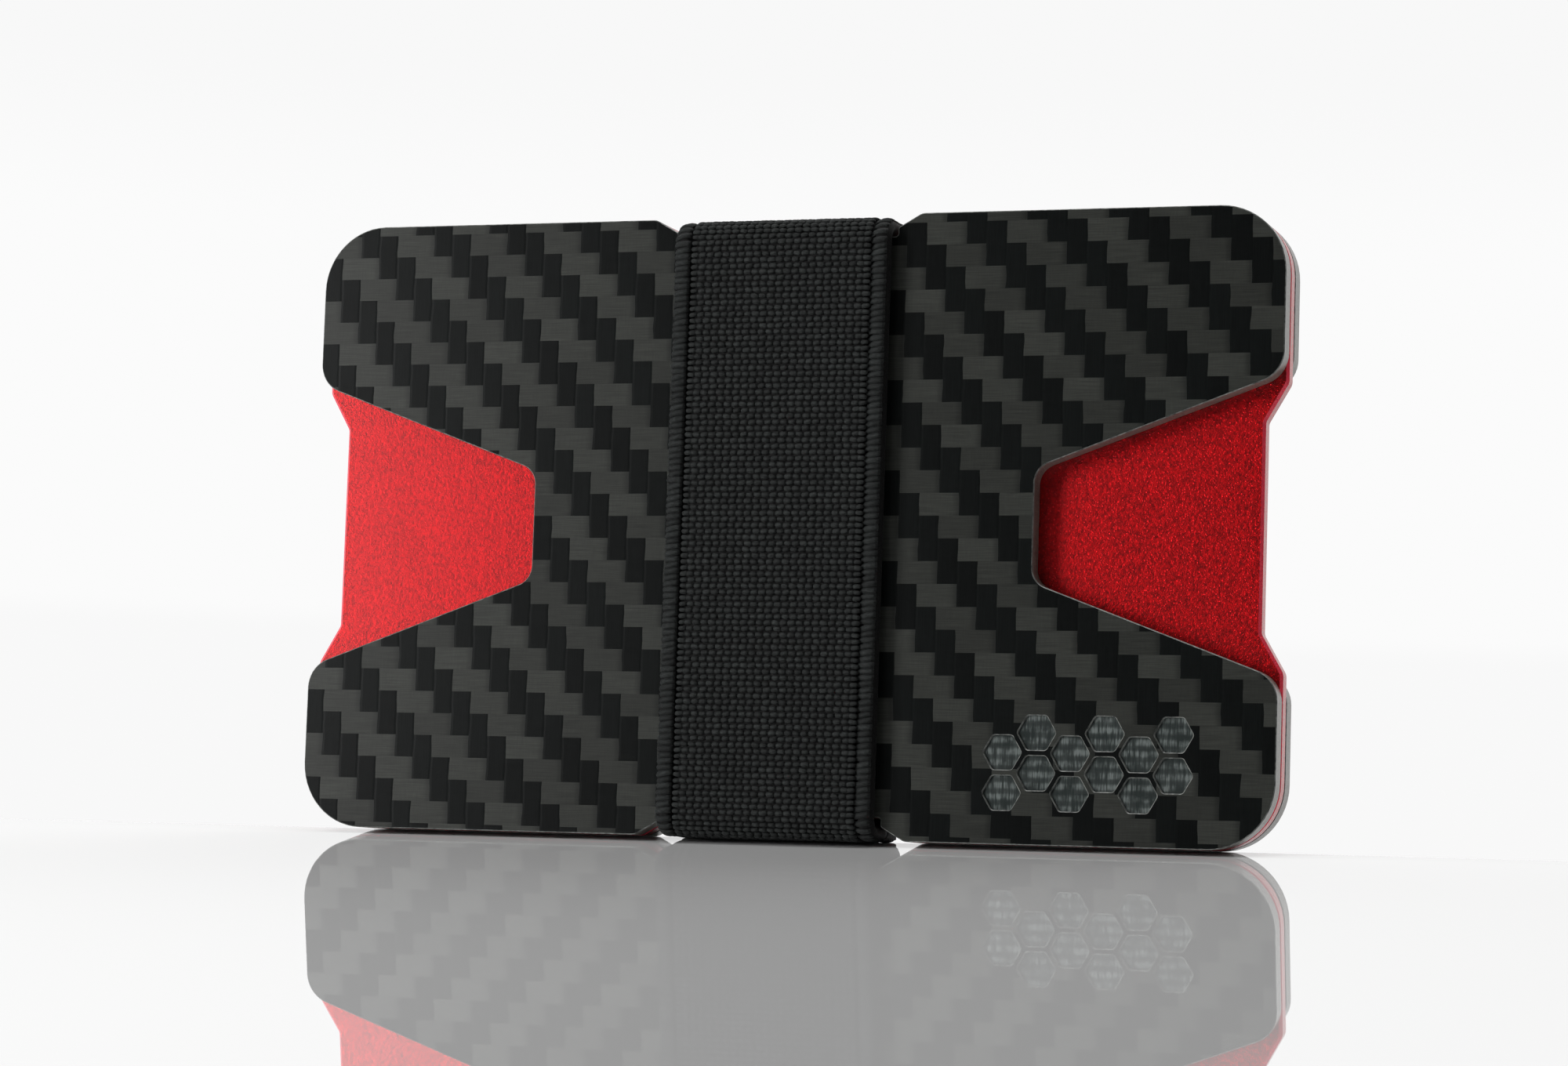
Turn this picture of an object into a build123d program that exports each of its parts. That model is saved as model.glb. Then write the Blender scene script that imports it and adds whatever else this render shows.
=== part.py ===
"""Minimalist card wallet: a red aluminium divider between two carbon-fibre plates.

A woven elastic loop runs round the middle of all three plates, sits in a shallow recess in their
long edges and pulls them together. The loop is closed by a sewn lap at the back. Cards go between a
plate and the divider, and push them apart against the elastic.

Frame: X along the plates, Y from the front plate to the back plate, +Z up. The wallet stands on a
long edge, and the origin is the middle of its footprint.
"""
from build123d import *
from math import radians, tan
import os

# --- Driving dimensions (mm) ---------------------------------------------------------------------
# Every plate covers a bank card of 85.6 x 54.0.
plate_length = 88.0
plate_height = 54.0
plate_corner_radius = 5.7

# Carbon plates: deep thumb notch at each end
carbon_thickness = 2.0
carbon_edge_break = 0.08
thumb_notch_depth = 21.2
thumb_notch_inner_height = 9.7
thumb_notch_mouth_height = 25.5
thumb_notch_inner_radius = 1.8
thumb_notch_mouth_radius = 2.7

# Divider: shallow notch at each end, flanks at 60 degrees, chamfered all round
divider_thickness = 1.8
divider_chamfer = 0.25
divider_notch_depth = 1.9
divider_notch_inner_height = 17.8
divider_notch_flank_angle = 60.0
divider_notch_inner_radius = 0.8
divider_notch_mouth_radius = 1.0

# Band recess, the same in both long edges of all three plates
recess_mouth_width = 24.4
recess_width = 20.2
recess_chamfer_depth = 1.2
recess_depth = 2.0
recess_mouth_radius = 1.0
recess_knee_radius = 0.4
recess_floor_radius = 0.3

# Closed stack
plate_gap = 0.1

# Elastic band
band_width = 19.4
band_thickness = 1.75
band_clearance = 0.15
band_outer_radius = 2.35
lap_length = 11.0
lap_thickness = 1.5
lap_end_radius = 0.5

# Sewing through the lap
stitch_length = 1.2
stitch_pitch = 1.7
stitch_radius = 0.16
stitches_per_row = 9
stitch_row_spacing = 6.4
stitch_clearance = 0.02

# Engraved honeycomb in the lower right of the front plate
cell_apothem = 1.7
pocket_apothem = 1.45
pocket_columns = 6
pocket_rows = 2
pocket_depth = 0.25
pocket_corner_radius = 0.35
engraving_x = 28.0
engraving_z = 6.9

# --- Places worked out from them -----------------------------------------------------------------
half_length = plate_length / 2
half_height = plate_height / 2
stack_thickness = 2 * carbon_thickness + divider_thickness + 2 * plate_gap
band_stand_off = band_clearance + band_thickness
stitch_stand_off = 2 * stitch_radius + stitch_clearance
wallet_depth = stack_thickness + 2 * band_stand_off + lap_thickness + stitch_stand_off

front_plate_front = -wallet_depth / 2 + band_stand_off
front_plate_back = front_plate_front + carbon_thickness
divider_front = front_plate_back + plate_gap
divider_back = divider_front + divider_thickness
rear_plate_front = divider_back + plate_gap
rear_plate_back = rear_plate_front + carbon_thickness
stack_middle = (front_plate_front + rear_plate_back) / 2
band_back = rear_plate_back + band_stand_off
lap_back = band_back + lap_thickness
stitch_axis_y = lap_back + stitch_clearance + stitch_radius


def plate_sketch(notch_depth, inner_height, mouth_height, inner_radius, mouth_radius):
    """Plate outline about its own centre: one quarter's corners, mirrored to the other three."""
    floor = half_height - recess_depth
    knee = half_height - recess_chamfer_depth
    quarter = [
        (half_length - notch_depth, inner_height / 2, inner_radius),
        (half_length, mouth_height / 2, mouth_radius),
        (half_length, half_height, plate_corner_radius),
        (recess_mouth_width / 2, half_height, recess_mouth_radius),
        (recess_width / 2, knee, recess_knee_radius),
        (recess_width / 2, floor, recess_floor_radius),
    ]
    corners = list(quarter)
    corners += [(-x, z, r) for x, z, r in reversed(quarter)]
    corners += [(-x, -z, r) for x, z, r in quarter]
    corners += [(x, -z, r) for x, z, r in reversed(quarter)]
    points = [(x, z) for x, z, r in corners]
    radii = [r for x, z, r in corners]
    with BuildSketch() as outline:
        with BuildLine():
            FilletPolyline(*points, radius=radii, close=True)
        make_face()
    return outline.sketch


def upright(back_y):
    """Plane of a plate's back face: X to the right, Z up, extruding towards the front."""
    return Plane(origin=(0, back_y, half_height), x_dir=(1, 0, 0), z_dir=(0, -1, 0))


os.makedirs("parts", exist_ok=True)

carbon_outline = plate_sketch(
    thumb_notch_depth,
    thumb_notch_inner_height,
    thumb_notch_mouth_height,
    thumb_notch_inner_radius,
    thumb_notch_mouth_radius,
)
divider_mouth_height = (
    divider_notch_inner_height + 2 * divider_notch_depth * tan(radians(divider_notch_flank_angle))
)
divider_outline = plate_sketch(
    divider_notch_depth,
    divider_notch_inner_height,
    divider_mouth_height,
    divider_notch_inner_radius,
    divider_notch_mouth_radius,
)

# --- Front plate ---------------------------------------------------------------------------------
with BuildPart() as front_plate:
    with BuildSketch(upright(front_plate_back)):
        add(carbon_outline)
    extrude(amount=carbon_thickness)
    # Honeycomb of flat-bottomed pockets, milled through the first ply
    with BuildSketch(upright(front_plate_front)) as pockets:
        with Locations((engraving_x, engraving_z - half_height)):
            with HexLocations(cell_apothem, pocket_columns, pocket_rows):
                RegularPolygon(pocket_apothem, 6, major_radius=False)
        fillet(pockets.vertices(), radius=pocket_corner_radius)
    extrude(amount=-pocket_depth, mode=Mode.SUBTRACT)
    front_face = front_plate.faces().sort_by(Axis.Y)[0]
    back_face = front_plate.faces().sort_by(Axis.Y)[-1]
    chamfer(front_face.edges() + back_face.edges(), length=carbon_edge_break)
front_plate.part.label = "front_plate"
export_step(front_plate.part, "parts/front_plate.step")

# --- Divider -------------------------------------------------------------------------------------
with BuildPart() as divider_plate:
    with BuildSketch(upright(divider_back)):
        add(divider_outline)
    extrude(amount=divider_thickness)
    broad_faces = divider_plate.faces().filter_by(Axis.Y)
    chamfer(broad_faces.edges(), length=divider_chamfer)
divider_plate.part.label = "divider_plate"
export_step(divider_plate.part, "parts/divider_plate.step")

# --- Rear plate ----------------------------------------------------------------------------------
with BuildPart() as rear_plate:
    with BuildSketch(upright(rear_plate_back)):
        add(carbon_outline)
    extrude(amount=carbon_thickness)
    broad_faces = rear_plate.faces().filter_by(Axis.Y)
    chamfer(broad_faces.edges(), length=carbon_edge_break)
rear_plate.part.label = "rear_plate"
export_step(rear_plate.part, "parts/rear_plate.step")

# --- Elastic band: a closed loop, doubled at the back where its ends are lapped ---------------------
band_inner_depth = stack_thickness + 2 * band_clearance
band_inner_height = plate_height - 2 * recess_depth + 2 * band_clearance
band_outer_depth = band_inner_depth + 2 * band_thickness
band_outer_height = band_inner_height + 2 * band_thickness
band_inner_radius = band_outer_radius - band_thickness
lap_solid_depth = lap_thickness + 2 * lap_end_radius

with BuildPart() as elastic_band:
    with BuildSketch(Plane.YZ.offset(-band_width / 2)):
        with Locations((stack_middle, half_height)):
            RectangleRounded(band_outer_depth, band_outer_height, band_outer_radius)
        with Locations((lap_back - lap_solid_depth / 2, half_height)):
            RectangleRounded(lap_solid_depth, lap_length, lap_end_radius)
        with Locations((stack_middle, half_height)):
            RectangleRounded(band_inner_depth, band_inner_height, band_inner_radius, mode=Mode.SUBTRACT)
    extrude(amount=band_width)
elastic_band.part.label = "elastic_band"
export_step(elastic_band.part, "parts/elastic_band.step")

# --- Seam thread: two rows of stitches across the lap ----------------------------------------------
seam_rows = [half_height - stitch_row_spacing / 2, half_height + stitch_row_spacing / 2]
first_stitch = -(stitches_per_row - 1) * stitch_pitch / 2
stitch_places = [
    (first_stitch + column * stitch_pitch, stitch_axis_y, row_z)
    for row_z in seam_rows
    for column in range(stitches_per_row)
]
with BuildPart() as seam_thread:
    with Locations(*stitch_places):
        Cylinder(stitch_radius, stitch_length, rotation=(0, 90, 0))
seam_thread.part.label = "seam_thread"
export_step(seam_thread.part, "parts/seam_thread.step")
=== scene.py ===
"""A card wallet: carbon-fibre plates and a red divider, held together by a woven elastic band."""
import math
import bpy
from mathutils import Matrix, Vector


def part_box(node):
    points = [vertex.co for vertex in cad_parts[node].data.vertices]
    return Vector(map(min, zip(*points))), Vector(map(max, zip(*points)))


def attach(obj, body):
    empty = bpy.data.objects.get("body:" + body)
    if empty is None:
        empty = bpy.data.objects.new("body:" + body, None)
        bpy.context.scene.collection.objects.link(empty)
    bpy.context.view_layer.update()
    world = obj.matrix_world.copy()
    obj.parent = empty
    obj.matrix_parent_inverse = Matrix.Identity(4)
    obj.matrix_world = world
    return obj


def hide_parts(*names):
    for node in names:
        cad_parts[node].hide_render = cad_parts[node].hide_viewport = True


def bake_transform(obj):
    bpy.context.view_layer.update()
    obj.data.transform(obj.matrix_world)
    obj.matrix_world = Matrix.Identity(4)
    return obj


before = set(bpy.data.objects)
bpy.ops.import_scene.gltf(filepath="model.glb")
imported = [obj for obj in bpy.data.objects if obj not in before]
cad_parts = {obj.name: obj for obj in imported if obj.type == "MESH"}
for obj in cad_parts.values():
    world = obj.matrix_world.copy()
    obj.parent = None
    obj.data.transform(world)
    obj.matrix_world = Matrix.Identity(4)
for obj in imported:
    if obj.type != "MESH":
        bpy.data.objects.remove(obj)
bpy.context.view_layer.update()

MM = 0.001

# ---------------------------------------------------------------------------------------------
# Camera
# A 90 mm lens a third of a metre from the front plate, low down and a little to the right.
# ---------------------------------------------------------------------------------------------
front_low, front_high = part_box("front_plate")
plate_centre_z = (front_low.z + front_high.z) / 2
plate_face = Vector((0, front_low.y, plate_centre_z))

camera_place = plate_face + Vector((108.9, -317.7, -33.0)) * MM
camera_aim = plate_face + Vector((0.6, 0.0, -0.7)) * MM
camera_roll = math.radians(1.91)

camera = bpy.data.objects.new("camera", bpy.data.cameras.new("camera"))
camera.data.lens = 89.7
camera.data.sensor_width = 36.0
camera.data.clip_start = 0.01
camera.location = camera_place
level = (camera_aim - camera_place).to_track_quat("-Z", "Y")
camera.rotation_euler = level.to_euler()
camera.rotation_euler.rotate_axis("Z", camera_roll)
bpy.context.collection.objects.link(camera)
bpy.context.scene.camera = camera

# ---------------------------------------------------------------------------------------------
# Carbon plates
# Two flat plates cut from a 2 mm laminate of 2x2 twill carbon cloth in matt resin. The cutter
# leaves a grey fibrous edge; the thin rim between face and edge is brighter, and the mark is milled
# through the top ply.
# ---------------------------------------------------------------------------------------------


def add_node(tree, kind, settings=None, **inputs):
    """A node with its settings; an input's value is a constant or another node's output."""
    node = tree.nodes.new(kind)
    for name, value in (settings or {}).items():
        setattr(node, name, value)
    for name, value in inputs.items():
        name = name.replace("_", " ")
        socket = node.inputs[int(name[2:])] if name.startswith("at") else node.inputs[name]
        if isinstance(value, bpy.types.NodeSocket):
            tree.links.new(value, socket)
        else:
            socket.default_value = value
    return node


def calc(tree, operation, *values):
    """The output of one Math node."""
    node = tree.nodes.new("ShaderNodeMath")
    node.operation = operation
    for socket, value in zip(node.inputs, values):
        if isinstance(value, bpy.types.NodeSocket):
            tree.links.new(value, socket)
        else:
            socket.default_value = value
    return node.outputs[0]


def remap(tree, value, low, high, to_low=0.0, to_high=1.0):
    """value from low..high to to_low..to_high, smoothly and clamped."""
    settings = {"interpolation_type": "SMOOTHSTEP"}
    node = add_node(tree, "ShaderNodeMapRange", settings, Value=value)
    node.inputs["From Min"].default_value = low
    node.inputs["From Max"].default_value = high
    node.inputs["To Min"].default_value = to_low
    node.inputs["To Max"].default_value = to_high
    return node.outputs["Result"]


def pick(tree, factor, first, second):
    """The output of a Mix node between two numbers: first at 0, second at 1."""
    node = add_node(tree, "ShaderNodeMix", {"data_type": "FLOAT"}, at_0=factor, at_2=first, at_3=second)
    return node.outputs[0]


def blend_colour(tree, factor, first, second, mode="MIX"):
    """Mixes two colours."""
    node = tree.nodes.new("ShaderNodeMix")
    node.data_type = "RGBA"
    node.blend_type = mode
    for index, value in ((0, factor), (6, first), (7, second)):
        if isinstance(value, bpy.types.NodeSocket):
            tree.links.new(value, node.inputs[index])
        else:
            node.inputs[index].default_value = value
    return node.outputs[2]


def new_material(name):
    """A node material with its Principled BSDF, and the object's coordinates in millimetres."""
    material = bpy.data.materials.new(name)
    material.use_nodes = True
    tree = material.node_tree
    shader = tree.nodes["Principled BSDF"]
    place = tree.nodes.new("ShaderNodeTexCoord")
    scale = add_node(
        tree, "ShaderNodeVectorMath", {"operation": "SCALE"}, Vector=place.outputs["Object"], Scale=1 / MM,
    )
    return material, tree, shader, scale.outputs["Vector"], place.outputs["Normal"]


def new_group(name, inputs, outputs):
    """A shader group with its named inputs and outputs."""
    group = bpy.data.node_groups.new(name, "ShaderNodeTree")
    for label, kind, default in inputs:
        socket = group.interface.new_socket(label, in_out="INPUT", socket_type=kind)
        if default is not None:
            socket.default_value = default
    for label, kind in outputs:
        group.interface.new_socket(label, in_out="OUTPUT", socket_type=kind)
    start = group.nodes.new("NodeGroupInput")
    end = group.nodes.new("NodeGroupOutput")
    return group, start.outputs, end.inputs


def use_group(tree, group, **inputs):
    """One group node in a material, with its own values."""
    node = tree.nodes.new("ShaderNodeGroup")
    node.node_tree = group
    for name, value in inputs.items():
        socket = node.inputs[name.replace("_", " ")]
        if isinstance(value, bpy.types.NodeSocket):
            tree.links.new(value, socket)
        else:
            socket.default_value = value
    return node.outputs


# Fibre streaks: noise drawn out along one direction, between 0 and 1
streaks_group, given, result = new_group(
    "fibre streaks",
    [
        ("Place", "NodeSocketVector", None),
        ("Threads per mm", "NodeSocketVector", (1, 1, 1)),
        ("Contrast", "NodeSocketFloat", 1.0),
    ],
    [("Streaks", "NodeSocketFloat")],
)
stretched = add_node(
    streaks_group, "ShaderNodeVectorMath", {"operation": "MULTIPLY"},
    at_0=given["Place"], at_1=given["Threads per mm"],
)
noise = add_node(
    streaks_group, "ShaderNodeTexNoise", Vector=stretched.outputs[0], Scale=1.0, Detail=3.0,
)
centred = calc(streaks_group, "SUBTRACT", noise.outputs["Fac"], 0.5)
spread = calc(streaks_group, "MULTIPLY_ADD", centred, given["Contrast"], 0.5)
streaks_group.links.new(spread, result["Streaks"])

# Twill cloth seen on a plate's face: which tows lie on top, and where along a float a point is
twill_group, given, result = new_group(
    "twill cloth",
    [
        ("Place", "NodeSocketVector", None),
        ("Warp pitch", "NodeSocketFloat", 1.775),
        ("Weft pitch", "NodeSocketFloat", 1.95),
        ("Warp start", "NodeSocketFloat", 5.6),
        ("Weft start", "NodeSocketFloat", 53.15),
    ],
    [
        ("Weft on top", "NodeSocketFloat"),
        ("Along weft", "NodeSocketFloat"),
        ("Tow tone", "NodeSocketFloat"),
        ("Relief", "NodeSocketFloat"),
    ],
)
twill_repeat = 4.0
floats_over = 2.0
tow_sway = 0.24
split = add_node(twill_group, "ShaderNodeSeparateXYZ", Vector=given["Place"])
wobble = add_node(twill_group, "ShaderNodeTexNoise", Vector=given["Place"], Scale=0.55, Detail=1.0)
sway = calc(twill_group, "MULTIPLY_ADD", wobble.outputs["Fac"], tow_sway, -tow_sway / 2)
swayed_x = calc(twill_group, "ADD", split.outputs["X"], sway)
warp_place = calc(twill_group, "SUBTRACT", swayed_x, given["Warp start"])
warp = calc(twill_group, "DIVIDE", warp_place, given["Warp pitch"])
weft_place = calc(twill_group, "SUBTRACT", given["Weft start"], split.outputs["Z"])
weft = calc(twill_group, "DIVIDE", weft_place, given["Weft pitch"])
warp_number = calc(twill_group, "FLOOR", warp)
weft_number = calc(twill_group, "FLOOR", weft)
# A weft goes over two warps and under two, and each row starts one warp further on
number_in_row = calc(twill_group, "SUBTRACT", warp_number, weft_number)
step = calc(twill_group, "FLOORED_MODULO", number_in_row, twill_repeat)
on_top = calc(twill_group, "LESS_THAN", step, floats_over - 0.5)
place_in_row = calc(twill_group, "SUBTRACT", warp, weft_number)
place_in_repeat = calc(twill_group, "FLOORED_MODULO", place_in_row, twill_repeat)
along = calc(twill_group, "MULTIPLY", 1 / floats_over, place_in_repeat)
across_weft = calc(twill_group, "FRACT", weft)
across_warp = calc(twill_group, "FRACT", warp)
# Each float has its own tone: numbered by its row and its group of four warps, or by its column
weft_float = calc(twill_group, "FLOOR", calc(twill_group, "DIVIDE", place_in_row, twill_repeat))
place_in_column = calc(twill_group, "SUBTRACT", weft, warp_number)
warp_float = calc(twill_group, "FLOOR", calc(twill_group, "DIVIDE", place_in_column, twill_repeat))
float_number = add_node(
    twill_group, "ShaderNodeCombineXYZ",
    X=pick(twill_group, on_top, warp_number, weft_float),
    Y=pick(twill_group, on_top, warp_float, weft_number),
    Z=on_top,
)
tone = add_node(
    twill_group, "ShaderNodeTexWhiteNoise", {"noise_dimensions": "3D"}, Vector=float_number.outputs[0],
)


def crown(tree, fraction):
    """Height across a tow: 0 at its edges, 1 in the middle, flat on top."""
    from_middle = calc(tree, "ABSOLUTE", calc(tree, "SUBTRACT", fraction, 0.5))
    return remap(tree, from_middle, 0.5, 0.38)


weft_relief = crown(twill_group, across_weft)
warp_relief = calc(twill_group, "MULTIPLY", crown(twill_group, across_warp), 0.9)
twill_group.links.new(on_top, result["Weft on top"])
twill_group.links.new(along, result["Along weft"])
twill_group.links.new(tone.outputs["Value"], result["Tow tone"])
twill_group.links.new(pick(twill_group, on_top, warp_relief, weft_relief), result["Relief"])


# How far a surface's normal turns to the front or the back on a face, and on a bevelled rim
face_turn = 0.9
rim_turn = 0.4


def carbon_material(name, pocket_depths=None):
    """Matt twill laminate. pocket_depths are the Y places between which a pocket's floor lies."""
    material, tree, shader, place, normal = new_material(name)
    cloth = use_group(tree, twill_group, Place=place)

    def streaks(threads_per_mm, contrast):
        """Fibre streaks on this laminate, as close along each axis as threads_per_mm says."""
        group = use_group(
            tree, streaks_group, Place=place, Threads_per_mm=threads_per_mm, Contrast=contrast,
        )
        return group["Streaks"]

    # Face: the weft floats are painted grey as lit tows and the warps nearly black as shaded tows, though
    # both are the same black fibre
    weft_lines = streaks((0.35, 1.0, 12.0), 1.5)
    weft_cross = streaks((7.0, 1.0, 0.8), 1.8)
    warp_lines = streaks((12.0, 1.0, 0.35), 1.6)
    weft_shade = calc(tree, "MULTIPLY", weft_lines, calc(tree, "MULTIPLY_ADD", weft_cross, 0.5, 0.75))
    weft_with_painted_light = blend_colour(tree, weft_shade, (0.016, 0.0175, 0.0155, 1), (0.041, 0.043, 0.038, 1))
    # The float dives under the next warp at its right-hand end, and painted shade darkens it there
    painted_end_shade = calc(tree, "MULTIPLY", remap(tree, cloth["Along weft"], 0.80, 1.0), 0.55)
    weft_with_painted_light = blend_colour(tree, painted_end_shade, weft_with_painted_light, (0.006, 0.007, 0.0065, 1))
    warp_with_painted_shade = blend_colour(tree, warp_lines, (0.002, 0.0026, 0.0025, 1), (0.005, 0.0062, 0.006, 1))
    face = blend_colour(tree, cloth["Weft on top"], warp_with_painted_shade, weft_with_painted_light)
    tone_gain = remap(tree, cloth["Tow tone"], 0.0, 1.0, 0.80, 1.20)
    face = blend_colour(tree, 1.0, face, tone_gain, "MULTIPLY")

    # Cut edge: plies on edge, fibre ends in grey resin
    edge_plies = streaks((0.7, 9.0, 0.7), 2.4)
    edge_ends = streaks((7.0, 1.5, 7.0), 2.0)
    edge_shade = calc(tree, "MULTIPLY_ADD", edge_ends, 0.5, calc(tree, "MULTIPLY", edge_plies, 0.5))
    edge = blend_colour(tree, edge_shade, (0.040, 0.038, 0.034, 1), (0.26, 0.245, 0.215, 1))

    # Rim: the narrow break between face and edge, brighter in broken streaks
    facing = add_node(tree, "ShaderNodeSeparateXYZ", Vector=normal)
    broad = calc(tree, "ABSOLUTE", facing.outputs["Y"])
    is_face = calc(tree, "GREATER_THAN", broad, face_turn)
    not_face = calc(tree, "SUBTRACT", 1.0, is_face)
    is_rim = calc(tree, "MULTIPLY", calc(tree, "GREATER_THAN", broad, rim_turn), not_face)
    rim_break = streaks((2.2, 1.0, 2.2), 2.5)
    rim = blend_colour(tree, rim_break, (0.03, 0.033, 0.032, 1), (0.24, 0.25, 0.235, 1))
    colour = blend_colour(tree, is_face, edge, face)
    colour = blend_colour(tree, is_rim, colour, rim)

    if pocket_depths:
        # The milled floor shows the next ply: pale, scuffed by the cutter in even rows
        low, high = pocket_depths
        cutter_row = 0.95
        depth = add_node(tree, "ShaderNodeSeparateXYZ", Vector=place)
        past_low = calc(tree, "GREATER_THAN", depth.outputs["Y"], low)
        before_high = calc(tree, "LESS_THAN", depth.outputs["Y"], high)
        inside = calc(tree, "MULTIPLY", past_low, before_high)
        row_phase = calc(tree, "MULTIPLY", depth.outputs["Z"], 2 * math.pi / cutter_row)
        rows = remap(tree, calc(tree, "SINE", row_phase), -1.0, 1.0, 0.35, 1.0)
        scuff = streaks((7.0, 1.0, 0.7), 2.4)
        cloud = streaks((0.8, 1.0, 0.9), 2.0)
        worn = remap(tree, calc(tree, "MULTIPLY", rows, calc(tree, "MULTIPLY", scuff, cloud)), 0.0, 0.55)
        pocket_floor = blend_colour(tree, worn, (0.024, 0.030, 0.029, 1), (0.15, 0.17, 0.165, 1))
        colour = blend_colour(tree, calc(tree, "MULTIPLY", inside, is_face), colour, pocket_floor)
        is_wall = calc(tree, "MULTIPLY", inside, calc(tree, "LESS_THAN", broad, rim_turn))
        colour = blend_colour(tree, calc(tree, "MULTIPLY", is_wall, 0.6), colour, (0.16, 0.18, 0.17, 1))

    tree.links.new(colour, shader.inputs["Base Color"])
    tree.links.new(calc(tree, "MULTIPLY_ADD", weft_lines, 0.10, 0.28), shader.inputs["Roughness"])
    filaments = calc(tree, "MULTIPLY", weft_lines, 0.25)
    relief_height = calc(tree, "MULTIPLY_ADD", cloth["Relief"], 0.8, filaments)
    relief_height = calc(tree, "MULTIPLY", relief_height, is_face)
    bump = add_node(tree, "ShaderNodeBump", Strength=0.35, Distance=0.00002, Height=relief_height)
    tree.links.new(bump.outputs["Normal"], shader.inputs["Normal"])
    shader.inputs["Specular IOR Level"].default_value = 0.10
    # Bare weft filaments shine a little, and the cut edge is sealed with a thin film of resin
    weft_shine = calc(tree, "MULTIPLY", cloth["Weft on top"], 0.27)
    tree.links.new(pick(tree, is_face, 0.45, weft_shine), shader.inputs["Coat Weight"])
    shader.inputs["Coat Roughness"].default_value = 0.30
    return material


def give(node_name, material):
    """A CAD node's finish."""
    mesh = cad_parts[node_name].data
    mesh.materials.clear()
    mesh.materials.append(material)


# The pockets are 0.25 mm deep, so their floors lie between these two depths
face_y = front_low.y / MM
give("front_plate", carbon_material("carbon_front", (face_y + 0.1, face_y + 0.4)))
give("rear_plate", carbon_material("carbon_rear"))

# ---------------------------------------------------------------------------------------------
# Divider
# One plate of 1.8 mm aluminium, chamfered all round, bead blasted and anodised red.
# It lies loose between the carbon plates, held by the band alone, and shows in their thumb notches.
# ---------------------------------------------------------------------------------------------
material, tree, shader, place, normal = new_material("red_anodised")
grain = add_node(tree, "ShaderNodeTexNoise", Vector=place, Scale=3.6, Detail=3.0, Roughness=0.7)
glints = add_node(tree, "ShaderNodeTexVoronoi", Vector=place, Scale=3.6)
glint = remap(tree, glints.outputs["Distance"], 0.36, 0.05)
cloud = add_node(tree, "ShaderNodeTexNoise", Vector=place, Scale=0.35, Detail=2.0)
grain_tone = remap(tree, grain.outputs["Fac"], 0.20, 0.80)
red = blend_colour(tree, grain_tone, (0.195, 0.0003, 0.0018, 1), (0.54, 0.0012, 0.004, 1))
# Painted glints: sparse bright red specks in the colour, standing in for the sparkle of the blasted metal
# in the light
red = blend_colour(tree, calc(tree, "MULTIPLY", glint, 0.5), red, (0.95, 0.016, 0.022, 1))
cloud_gain = remap(tree, cloud.outputs["Fac"], 0.3, 0.7, 0.97, 1.03)
red = blend_colour(tree, 1.0, red, cloud_gain, "MULTIPLY")
facing = add_node(tree, "ShaderNodeSeparateXYZ", Vector=normal)
broad = calc(tree, "ABSOLUTE", facing.outputs["Y"])
not_face = calc(tree, "LESS_THAN", broad, face_turn)
is_chamfer = calc(tree, "MULTIPLY", calc(tree, "GREATER_THAN", broad, rim_turn), not_face)
# The chamfers are painted paler pink as a highlight where they catch the light, and scatter more light
# than the faces
red = blend_colour(tree, calc(tree, "MULTIPLY", is_chamfer, 0.85), red, (1.0, 0.065, 0.11, 1))
tree.links.new(red, shader.inputs["Base Color"])
tree.links.new(calc(tree, "MULTIPLY_ADD", is_chamfer, -0.45, 0.7), shader.inputs["Metallic"])
shader.inputs["Specular IOR Level"].default_value = 0.05
shader.inputs["Coat Weight"].default_value = 0.8
shader.inputs["Coat Roughness"].default_value = 0.27
tree.links.new(remap(tree, grain.outputs["Fac"], 0.3, 0.7, 0.30, 0.44), shader.inputs["Roughness"])
blast = calc(tree, "MULTIPLY_ADD", glint, 0.5, grain.outputs["Fac"])
bump = add_node(tree, "ShaderNodeBump", Strength=0.7, Distance=0.0001, Height=blast)
tree.links.new(bump.outputs["Normal"], shader.inputs["Normal"])
give("divider_plate", material)

# ---------------------------------------------------------------------------------------------
# Elastic band
# A loop of black woven elastic, 19.4 mm wide and 1.75 mm thick: rubber cores under short floats of
# yarn in close rows, with a groove and a rolled selvedge of thread wraps along both edges.
# It is sewn shut at the back, where its outer end lies over the inner one.
# ---------------------------------------------------------------------------------------------
band_low, band_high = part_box("elastic_band")
rear_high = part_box("rear_plate")[1]
middle_y = (front_low.y + rear_high.y) / 2

band_half_width = (band_high.x - band_low.x) / 2
band_thickness = 1.75 * MM
corner_radius = 2.35 * MM
inner_corner = corner_radius - band_thickness
top_inner = band_high.z - band_thickness
bottom_sag = 0.36 * MM
bottom_inner = band_low.z + band_thickness - bottom_sag
front_inner = band_low.y + band_thickness
rear_inner = 2 * middle_y - front_inner
lap_half = 5.5 * MM
lap_rise = band_high.y - rear_inner - band_thickness
ramp_length = 3.0 * MM

# Heights are above the band's inner face, and x is measured from its middle line
body_half_width = 7.6 * MM
body_height = 1.34 * MM
body_edge_x = 7.82 * MM
body_edge_drop = 0.10 * MM
groove_x = 8.10 * MM
groove_half_width = 0.12 * MM
groove_height = 0.45 * MM
groove_inner_rise = 0.30 * MM
groove_outer_rise = 0.07 * MM
roll_x = 8.97 * MM
roll_height = 0.78 * MM
roll_half_width = 0.84 * MM
roll_half_height = 0.62 * MM
row_pitch = 0.526 * MM
float_height = 1.46 * MM
float_pitch = 0.725 * MM
float_reach = 7.85 * MM
floats_per_row = 23
yarn_tones = (0.55, 1.25)
# A wrap's arch over its roll, in degrees from +X over the band's outside, with its slant and breadth
wrap_from = 50.0
wrap_to = 205.0
wrap_slant = 0.10
wrap_breadth = 0.88
point_spacing = 0.5 * MM


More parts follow.
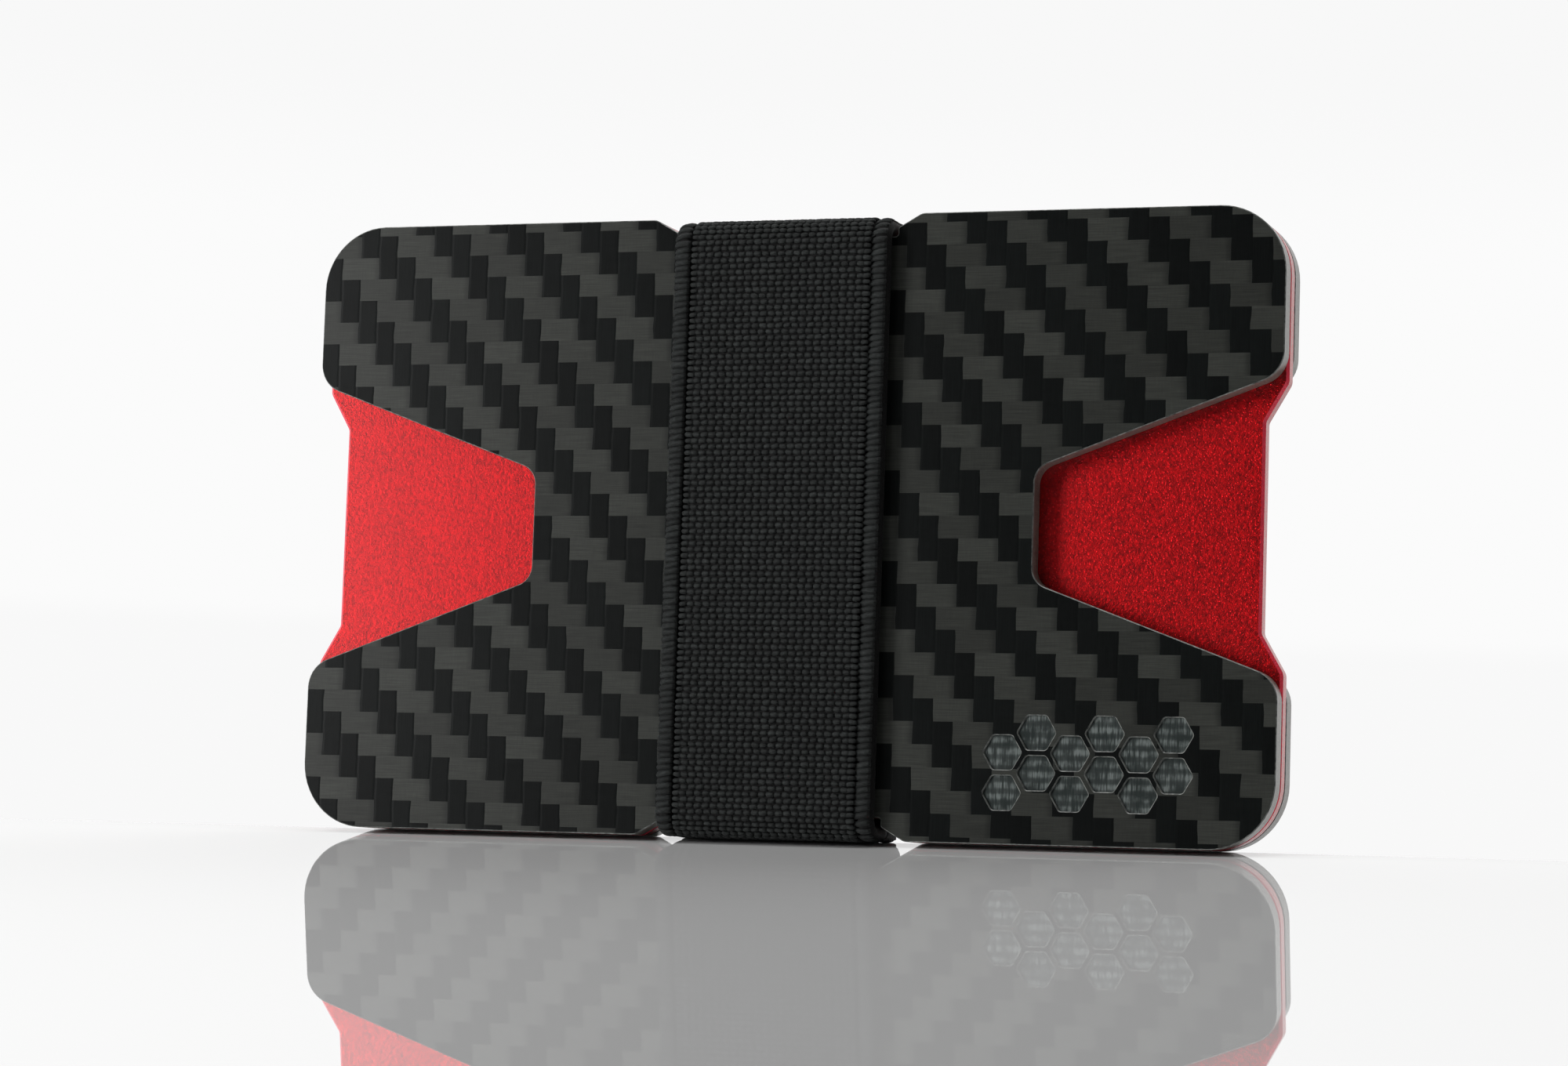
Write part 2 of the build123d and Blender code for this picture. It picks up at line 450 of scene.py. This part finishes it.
def straight(start, end):
    """Evenly spaced points along a straight run, its last one left out."""
    start, end = Vector(start), Vector(end)
    count = max(1, round((end - start).length / point_spacing))
    return [start.lerp(end, i / count) for i in range(count)]


def corner(centre, from_angle, steps=9):
    """A quarter turn in the YZ plane, anticlockwise seen from +X, its last point left out."""
    centre = Vector(centre)
    angles = [math.radians(from_angle + 90 * i / steps) for i in range(steps)]
    return [centre + Vector((0, math.cos(a), math.sin(a))) * inner_corner for a in angles]


front_turn = front_inner + inner_corner
rear_turn = rear_inner - inner_corner
top_turn = top_inner - inner_corner
bottom_turn = bottom_inner + inner_corner
lap_top = plate_centre_z + lap_half
lap_bottom = plate_centre_z - lap_half


def lap_lift(z):
    """How far the outer end of the band stands off the rear run at height z."""
    t = min(1.0, max(0.0, (lap_top + ramp_length - z) / ramp_length))
    return lap_rise * t * t * (3 - 2 * t)


# The three stretches of the band's inner face, each in the sense top, front, bottom, rear
front_run = straight((0, middle_y, top_inner), (0, front_turn, top_inner))
front_run += corner((0, front_turn, top_turn), 90)
front_run += straight((0, front_inner, top_turn), (0, front_inner, bottom_turn))
front_run += corner((0, front_turn, bottom_turn), 180)
front_run += straight((0, front_turn, bottom_inner), (0, middle_y, bottom_inner))
front_run += [Vector((0, middle_y, bottom_inner))]

under_run = straight((0, middle_y, bottom_inner), (0, rear_turn, bottom_inner))
under_run += corner((0, rear_turn, bottom_turn), 270)
under_run += straight((0, rear_inner, bottom_turn), (0, rear_inner, lap_top))
under_run += [Vector((0, rear_inner, lap_top))]

over_run = straight((0, rear_inner, lap_bottom), (0, rear_inner, top_turn))
over_run = [p + Vector((0, lap_lift(p.z), 0)) for p in over_run]
over_run += corner((0, rear_turn, top_turn), 0)
over_run += straight((0, rear_turn, top_inner), (0, middle_y, top_inner))
over_run += [Vector((0, middle_y, top_inner))]


def outward(points):
    """The band's outward direction at each point of a stretch."""
    across = Vector((1, 0, 0))
    found = []
    for i in range(len(points)):
        before, after = points[max(i - 1, 0)], points[min(i + 1, len(points) - 1)]
        found.append((after - before).normalized().cross(across))
    return found


def web_section():
    """The band's cross-section as (x, height) points, anticlockwise: rolls, grooves, flat body."""
    half = []
    for i in range(15):
        angle = math.radians(-90 + i * 15)
        x = roll_x + roll_half_width * math.cos(angle)
        half.append((x, roll_height + roll_half_height * math.sin(angle)))
    half.append((groove_x + groove_half_width, groove_height + groove_outer_rise))
    half.append((groove_x, groove_height))
    half.append((groove_x - groove_half_width, groove_height + groove_inner_rise))
    half.append((body_edge_x, body_height - body_edge_drop))
    for i in range(8):
        half.append((body_half_width * (1 - i / 8), body_height))
    return half + [(-x, h) for x, h in reversed(half[:-1])]


def mesh_object(name, vertices, faces, material=None):
    """A smooth mesh object from points and faces, in place and linked."""
    mesh = bpy.data.meshes.new(name)
    mesh.from_pydata([tuple(v) for v in vertices], [], faces)
    mesh.validate()
    mesh.polygons.foreach_set("use_smooth", [True] * len(mesh.polygons))
    if material:
        mesh.materials.append(material)
    obj = bpy.data.objects.new(name, mesh)
    bpy.context.collection.objects.link(obj)
    return obj


def sweep_web(name, points, material):
    """The band's body along a stretch, closed at both ends."""
    section = web_section()
    normals = outward(points)
    count = len(section)
    vertices = [p + n * h + Vector((x, 0, 0)) for p, n in zip(points, normals) for x, h in section]
    faces = []
    for ring in range(len(points) - 1):
        for i in range(count):
            j = (i + 1) % count
            a, b = ring * count + i, ring * count + j
            faces.append((a, b, b + count, a + count))
    faces.append(tuple(reversed(range(count))))
    last = (len(points) - 1) * count
    faces.append(tuple(last + i for i in range(count)))
    return mesh_object(name, vertices, faces, material)


def yarn_material(name, dark, light):
    """Filament yarn: fine lines along each float, tone from the float's own number."""
    material, tree, shader, place, normal = new_material(name)
    tone = add_node(tree, "ShaderNodeAttribute", {"attribute_name": "yarn_tone"})
    fuzz = add_node(tree, "ShaderNodeTexNoise", Vector=place, Scale=9.0, Detail=3.0, Roughness=0.65)
    lines = use_group(
        tree, streaks_group, Place=place, Threads_per_mm=(2.5, 16.0, 16.0), Contrast=2.4,
    )
    fuzz_gain = remap(tree, fuzz.outputs["Fac"], 0.25, 0.75, 0.6, 1.2)
    shade = calc(tree, "MULTIPLY", lines["Streaks"], fuzz_gain)
    shade = calc(tree, "MULTIPLY", shade, tone.outputs["Fac"])
    tree.links.new(blend_colour(tree, shade, dark, light), shader.inputs["Base Color"])
    tree.links.new(remap(tree, fuzz.outputs["Fac"], 0.3, 0.7, 0.55, 0.78), shader.inputs["Roughness"])
    height = calc(tree, "MULTIPLY_ADD", fuzz.outputs["Fac"], 0.5, lines["Streaks"])
    bump = add_node(tree, "ShaderNodeBump", Strength=0.7, Distance=0.00004, Height=height)
    tree.links.new(bump.outputs["Normal"], shader.inputs["Normal"])
    shader.inputs["Sheen Weight"].default_value = 0.03
    shader.inputs["Sheen Roughness"].default_value = 0.4
    shader.inputs["Specular IOR Level"].default_value = 0.22
    return material


yarn = yarn_material("black_yarn", (0.0015, 0.002, 0.002, 1), (0.028, 0.032, 0.031, 1))
# The core is painted darker than the yarn: painted shade in the gaps between floats and on the band's
# shadowed flank
painted_shade_core = yarn_material("band_core", (0.0005, 0.0005, 0.0005, 1), (0.0035, 0.004, 0.004, 1))


def yarn_float(name, length, width, height, bow, sections=5, sides=6):
    """One float of yarn along X: a closed, flattened bead whose ends dive into the web."""
    bluntness = 3.6
    vertices, faces = [], []
    for s in range(sections):
        t = -1 + 2 * (s + 0.5) / sections
        girth = (1 - abs(t) ** bluntness) ** 0.5
        for k in range(sides):
            a = 2 * math.pi * k / sides
            y = 0.5 * width * girth * math.cos(a)
            z = 0.5 * height * girth * math.sin(a) - bow * height * t * t
            vertices.append((0.5 * length * t, y, z))
    for s in range(sections - 1):
        for k in range(sides):
            a, b = s * sides + k, s * sides + (k + 1) % sides
            faces.append((a, b, b + sides, a + sides))
    for end, ring in ((-1, 0), (1, sections - 1)):
        vertices.append((0.5 * length * end, 0, -bow * height))
        tip = len(vertices) - 1
        for k in range(sides):
            a, b = ring * sides + k, ring * sides + (k + 1) % sides
            faces.append((tip, b, a) if end < 0 else (tip, a, b))
    return mesh_object(name, vertices, faces)


def selvedge_wrap(name, radius_x, radius_z, thread, sides=5, steps=8):
    """One turn of thread over the rolled selvedge: an arch across X, its feet in the roll."""
    vertices, faces = [], []
    for s in range(steps + 1):
        a = math.radians(wrap_from + (wrap_to - wrap_from) * s / steps)
        middle = Vector((radius_x * math.cos(a), 0, radius_z * math.sin(a)))
        out = Vector((math.cos(a), 0, math.sin(a)))
        slant = Vector((0, middle.x * wrap_slant, 0))
        for k in range(sides):
            b = 2 * math.pi * k / sides
            outward_part = out * (thread * 0.5 * math.cos(b))
            along_part = Vector((0, thread * wrap_breadth * math.sin(b), 0))
            vertices.append(middle + slant + outward_part + along_part)
    for s in range(steps):
        for k in range(sides):
            a, b = s * sides + k, s * sides + (k + 1) % sides
            faces.append((a, a + sides, b + sides, b))
    faces.append(tuple(range(sides)))
    faces.append(tuple(reversed([steps * sides + k for k in range(sides)])))
    return mesh_object(name, vertices, faces)


def rows_tree(name):
    """Geometry Nodes: copies of one small shape in even rows across a path, each turned to it."""
    tree = bpy.data.node_groups.new(name, "GeometryNodeTree")
    sockets = tree.interface.new_socket
    sockets("Path", in_out="INPUT", socket_type="NodeSocketGeometry")
    for label, kind in (
        ("Shape", "NodeSocketObject"),
        ("Row pitch", "NodeSocketFloat"),
        ("Per row", "NodeSocketInt"),
        ("Pitch", "NodeSocketFloat"),
        ("Stagger", "NodeSocketFloat"),
        ("Reach", "NodeSocketFloat"),
        ("Turn", "NodeSocketFloat"),
        ("Size spread", "NodeSocketFloat"),
        ("Seed", "NodeSocketInt"),
        ("Finish", "NodeSocketMaterial"),
    ):
        sockets(label, in_out="INPUT", socket_type=kind)
    sockets("Rows", in_out="OUTPUT", socket_type="NodeSocketGeometry")
    given = tree.nodes.new("NodeGroupInput").outputs
    result = tree.nodes.new("NodeGroupOutput").inputs

    to_points = tree.nodes.new("GeometryNodeCurveToPoints")
    to_points.mode = "LENGTH"
    tree.links.new(given["Path"], to_points.inputs["Curve"])
    tree.links.new(given["Row pitch"], to_points.inputs["Length"])
    index = tree.nodes.new("GeometryNodeInputIndex").outputs[0]
    row = tree.nodes.new("GeometryNodeStoreNamedAttribute")
    row.data_type, row.domain = "INT", "POINT"
    row.inputs["Name"].default_value = "row"
    tree.links.new(to_points.outputs["Points"], row.inputs["Geometry"])
    tree.links.new(index, row.inputs["Value"])
    way = tree.nodes.new("GeometryNodeStoreNamedAttribute")
    way.data_type, way.domain = "FLOAT_VECTOR", "POINT"
    way.inputs["Name"].default_value = "way"
    tree.links.new(row.outputs["Geometry"], way.inputs["Geometry"])
    tree.links.new(to_points.outputs["Tangent"], way.inputs["Value"])

    copies = tree.nodes.new("GeometryNodeDuplicateElements")
    copies.domain = "POINT"
    tree.links.new(way.outputs["Geometry"], copies.inputs["Geometry"])
    tree.links.new(given["Per row"], copies.inputs["Amount"])

    def named(label, kind):
        """The value that an earlier node stored under a name."""
        node = tree.nodes.new("GeometryNodeInputNamedAttribute")
        node.data_type = kind
        node.inputs["Name"].default_value = label
        return node.outputs["Attribute"]

    half_count = calc(tree, "MULTIPLY", calc(tree, "SUBTRACT", given["Per row"], 1.0), 0.5)
    column = calc(tree, "SUBTRACT", copies.outputs["Duplicate Index"], half_count)
    odd_row = calc(tree, "SUBTRACT", calc(tree, "FLOORED_MODULO", named("row", "INT"), 2.0), 0.5)
    shifted = calc(tree, "MULTIPLY_ADD", odd_row, given["Stagger"], column)
    offset = tree.nodes.new("ShaderNodeCombineXYZ")
    sideways = calc(tree, "MULTIPLY", shifted, given["Pitch"])
    sideways = calc(tree, "MINIMUM", sideways, given["Reach"])
    sideways = calc(tree, "MAXIMUM", sideways, calc(tree, "MULTIPLY", given["Reach"], -1.0))
    tree.links.new(sideways, offset.inputs["X"])
    move = tree.nodes.new("GeometryNodeSetPosition")
    tree.links.new(copies.outputs["Geometry"], move.inputs["Geometry"])
    tree.links.new(offset.outputs[0], move.inputs["Offset"])

    # The shape's X lies across the band and its Z points out of it
    out_of_band = tree.nodes.new("ShaderNodeVectorMath")
    out_of_band.operation = "CROSS_PRODUCT"
    tree.links.new(named("way", "FLOAT_VECTOR"), out_of_band.inputs[0])
    out_of_band.inputs[1].default_value = (1, 0, 0)
    axes = tree.nodes.new("FunctionNodeAxesToRotation")
    axes.primary_axis, axes.secondary_axis = "Z", "X"
    tree.links.new(out_of_band.outputs[0], axes.inputs["Primary Axis"])
    axes.inputs["Secondary Axis"].default_value = (1, 0, 0)

    def between(low, high, draw):
        """A random number for each copy; draw is which of the tree's random draws it is."""
        node = tree.nodes.new("FunctionNodeRandomValue")
        node.data_type = "FLOAT"
        for socket, value in ((node.inputs[2], low), (node.inputs[3], high)):
            if isinstance(value, bpy.types.NodeSocket):
                tree.links.new(value, socket)
            else:
                socket.default_value = value
        tree.links.new(calc(tree, "ADD", given["Seed"], draw), node.inputs["Seed"])
        return node.outputs[1]

    twist = tree.nodes.new("ShaderNodeCombineXYZ")
    other_way = calc(tree, "MULTIPLY", given["Turn"], -1.0)
    tree.links.new(between(other_way, given["Turn"], 1.0), twist.inputs["Z"])
    turned = tree.nodes.new("FunctionNodeRotateRotation")
    turned.rotation_space = "LOCAL"
    tree.links.new(axes.outputs[0], turned.inputs["Rotation"])
    tree.links.new(twist.outputs[0], turned.inputs["Rotate By"])

    shape = tree.nodes.new("GeometryNodeObjectInfo")
    tree.links.new(given["Shape"], shape.inputs["Object"])
    place_copies = tree.nodes.new("GeometryNodeInstanceOnPoints")
    tree.links.new(move.outputs[0], place_copies.inputs["Points"])
    tree.links.new(shape.outputs["Geometry"], place_copies.inputs["Instance"])
    tree.links.new(turned.outputs[0], place_copies.inputs["Rotation"])
    low_size = calc(tree, "SUBTRACT", 1.0, given["Size spread"])
    high_size = calc(tree, "ADD", 1.0, given["Size spread"])
    tree.links.new(between(low_size, high_size, 2.0), place_copies.inputs["Scale"])

    tone = tree.nodes.new("GeometryNodeStoreNamedAttribute")
    tone.data_type, tone.domain = "FLOAT", "INSTANCE"
    tone.inputs["Name"].default_value = "yarn_tone"
    tree.links.new(place_copies.outputs[0], tone.inputs["Geometry"])
    tree.links.new(between(*yarn_tones, 3.0), tone.inputs["Value"])
    realize = tree.nodes.new("GeometryNodeRealizeInstances")
    tree.links.new(tone.outputs[0], realize.inputs[0])
    finish = tree.nodes.new("GeometryNodeSetMaterial")
    tree.links.new(realize.outputs[0], finish.inputs["Geometry"])
    tree.links.new(given["Finish"], finish.inputs["Material"])
    tree.links.new(finish.outputs[0], result["Rows"])
    return tree


band_rows = rows_tree("rows of yarn")


def rows_along(name, points, **values):
    """A plain mesh of one shape repeated along a path by the rows tree."""
    curve = bpy.data.curves.new(name, "CURVE")
    curve.dimensions = "3D"
    spline = curve.splines.new("POLY")
    spline.points.add(len(points) - 1)
    for knot, point in zip(spline.points, points):
        knot.co = (*point, 1)
    path = bpy.data.objects.new(name, curve)
    bpy.context.collection.objects.link(path)
    modifier = path.modifiers.new("rows", "NODES")
    modifier.node_group = band_rows
    for item in band_rows.interface.items_tree:
        label = item.name.replace(" ", "_")
        if item.in_out == "INPUT" and label in values:
            modifier[item.identifier] = values[label]
    graph = bpy.context.evaluated_depsgraph_get()
    mesh = bpy.data.meshes.new_from_object(path.evaluated_get(graph), depsgraph=graph)
    mesh.polygons.foreach_set("use_smooth", [True] * len(mesh.polygons))
    bpy.data.objects.remove(path)
    obj = bpy.data.objects.new(name, mesh)
    bpy.context.collection.objects.link(obj)
    return obj


def lifted(points, height):
    """The same stretch, moved out to a height above the band's inner face."""
    return [p + n * height for p, n in zip(points, outward(points))]


def join(name, parts):
    """One object from several, the first one's name changed."""
    bpy.context.view_layer.update()
    with bpy.context.temp_override(active_object=parts[0], selected_editable_objects=parts):
        bpy.ops.object.join()
    parts[0].name = name
    return parts[0]


float_shape = yarn_float("float_shape", length=0.82 * MM, width=0.43 * MM, height=0.36 * MM, bow=0.17)
wrap_shape = selvedge_wrap("wrap_shape", radius_x=0.85 * MM, radius_z=0.62 * MM, thread=0.30 * MM)


def band_stretch(name, points, seed):
    """One stretch of band: its web, the floats on its body and the wraps on its selvedges."""
    web = sweep_web(name + "_web", points, painted_shade_core)
    floats = rows_along(
        name + "_floats", lifted(points, float_height), Shape=float_shape, Finish=yarn, Seed=seed,
        Row_pitch=row_pitch, Per_row=floats_per_row, Pitch=float_pitch, Reach=float_reach,
        Stagger=0.22, Turn=0.13, Size_spread=0.08,
    )
    wraps = rows_along(
        name + "_wraps", lifted(points, roll_height), Shape=wrap_shape, Finish=yarn, Seed=seed + 10,
        Row_pitch=row_pitch, Per_row=2, Pitch=2 * roll_x, Reach=band_half_width,
        Stagger=0.0, Turn=0.12, Size_spread=0.04,
    )
    return join(name, [web, floats, wraps])


band_front = band_stretch("band_front", front_run, 3)
band_under = band_stretch("band_rear_inner_end", under_run, 5)
band_over = band_stretch("band_rear_outer_end", over_run, 7)

for piece in (band_front, band_under, band_over):
    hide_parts("elastic_band")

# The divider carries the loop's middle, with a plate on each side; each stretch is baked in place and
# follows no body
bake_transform(band_front)
for piece in (band_under, band_over):
    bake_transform(piece)

# ---------------------------------------------------------------------------------------------
# Seam
# Two rows of stitches in black polyester thread, sewn across the band's width through both of its
# ends where they lap at the back. They close the loop and move with the rear plate.
# ---------------------------------------------------------------------------------------------
seam_low, seam_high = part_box("seam_thread")
seam_y = (seam_low.y + seam_high.y) / 2
thread_diameter = 0.32 * MM
stitch_pitch = 1.7 * MM
stitches_per_row = 9
seam_row_spacing = (seam_high.z - seam_low.z) - thread_diameter
seam_start = Vector((0, seam_y, plate_centre_z - seam_row_spacing / 2))
# A hair over the spacing, so that rounding never drops the second row
seam_end = seam_start + Vector((0, 0, 1.001 * seam_row_spacing))

thread = yarn_material("sewing_thread", (0.010, 0.011, 0.011, 1), (0.11, 0.12, 0.12, 1))
stitch_shape = yarn_float(
    "stitch_shape", length=1.5 * MM, width=thread_diameter, height=0.36 * MM, bow=0.9, sections=7, sides=8,
)
seam = rows_along(
    "seam_stitches", [seam_start, seam_end], Shape=stitch_shape, Finish=thread, Seed=11,
    Row_pitch=seam_row_spacing, Per_row=stitches_per_row, Pitch=stitch_pitch, Reach=band_half_width,
    Stagger=0.0, Turn=0.04, Size_spread=0.03,
)
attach(seam, "rear")
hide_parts("seam_thread")

for shape in (float_shape, wrap_shape, stitch_shape):
    bpy.data.objects.remove(shape)

# ---------------------------------------------------------------------------------------------
# Floor, lights and surroundings
# A pale glossy table that falls away gently in front of the wallet, four softboxes, and a white
# room whose near side is dim.
# ---------------------------------------------------------------------------------------------
floor_half_width = 1.5
floor_reach = 1.6
fall_start = rear_high.y
fall_angle = math.radians(5.5)
bend_length = 1 * MM
bend_steps = 8
floor_points = [(floor_reach, 0.0), (fall_start, 0.0)]


def add_floor(length, angle):
    """Carries the floor's profile on towards the front, falling at an angle."""
    last_y, last_z = floor_points[-1]
    floor_points.append((last_y - length * math.cos(angle), last_z - length * math.sin(angle)))


for i in range(1, bend_steps + 1):
    add_floor(bend_length / bend_steps, fall_angle * i / bend_steps)
add_floor(floor_reach, fall_angle)
floor_vertices = [(side * floor_half_width, y, z) for y, z in floor_points for side in (-1, 1)]
floor_faces = [(2 * i, 2 * i + 2, 2 * i + 3, 2 * i + 1) for i in range(len(floor_points) - 1)]

table_material = bpy.data.materials.new("white_table")
table_material.use_nodes = True
tree = table_material.node_tree
tree.nodes.remove(tree.nodes["Principled BSDF"])
matt = add_node(tree, "ShaderNodeBsdfDiffuse", Color=(0.93, 0.93, 0.93, 1))
gloss = add_node(tree, "ShaderNodeBsdfGlossy", Color=(1.0, 1.0, 1.0, 1), Roughness=0.0)
mixed = add_node(tree, "ShaderNodeMixShader", Fac=0.65, at_1=matt.outputs[0], at_2=gloss.outputs[0])
tree.links.new(mixed.outputs[0], tree.nodes["Material Output"].inputs["Surface"])
table = mesh_object("table", floor_vertices, floor_faces, table_material)


def softbox(name, place, size, watts):
    """A rectangular softbox that faces the middle of the front plate."""
    data = bpy.data.lights.new(name, "AREA")
    data.shape = "RECTANGLE"
    data.size, data.size_y = size
    data.energy = watts
    light = bpy.data.objects.new(name, data)
    light.location = place
    light.rotation_euler = (plate_face - Vector(place)).to_track_quat("-Z", "Y").to_euler()
    light.visible_camera = False
    bpy.context.collection.objects.link(light)
    return light


softbox("key_softbox", place=(-0.20, -0.50, 0.54), size=(0.25, 0.25), watts=0.95)
softbox("left_softbox", place=(-0.40, -0.38, 0.10), size=(0.19, 0.26), watts=2.05)
softbox("overhead_softbox", place=(0.0, -0.08, 0.80), size=(0.8, 0.15), watts=2.8)
rear_softbox = softbox("rear_softbox", place=(0.50, 0.60, 0.45), size=(0.7, 0.7), watts=1.8)
rear_softbox.visible_glossy = False

world = bpy.data.worlds.new("studio")
world.use_nodes = True
tree = world.node_tree
background = tree.nodes["Background"]
view = tree.nodes.new("ShaderNodeTexCoord")
direction = add_node(tree, "ShaderNodeSeparateXYZ", Vector=view.outputs["Generated"])
ray = tree.nodes.new("ShaderNodeLightPath")
# The room is bright behind the wallet and dim in front of it: brighter in what the gloss reflects
# than in what fills the shadows
reflected = remap(tree, direction.outputs["Y"], 0.0, 0.45, 0.02, 0.96)
filling = remap(tree, direction.outputs["Y"], 0.1, 0.7, 0.03, 0.50)
# The wall that shows behind it is a little darker at its foot and towards its top
wall_foot = remap(tree, direction.outputs["Z"], 0.066, 0.074, 0.940, 0.964)
wall_top = remap(tree, direction.outputs["Z"], 0.165, 0.215, 0.0, 0.026)
wall = calc(tree, "SUBTRACT", wall_foot, wall_top)
unseen = pick(tree, ray.outputs["Is Diffuse Ray"], reflected, filling)
strength = pick(tree, ray.outputs["Is Camera Ray"], unseen, wall)
tree.links.new(strength, background.inputs["Strength"])
background.inputs["Color"].default_value = (1.0, 1.0, 1.0, 1)
bpy.context.scene.world = world
bpy.context.scene.view_settings.view_transform = "Standard"
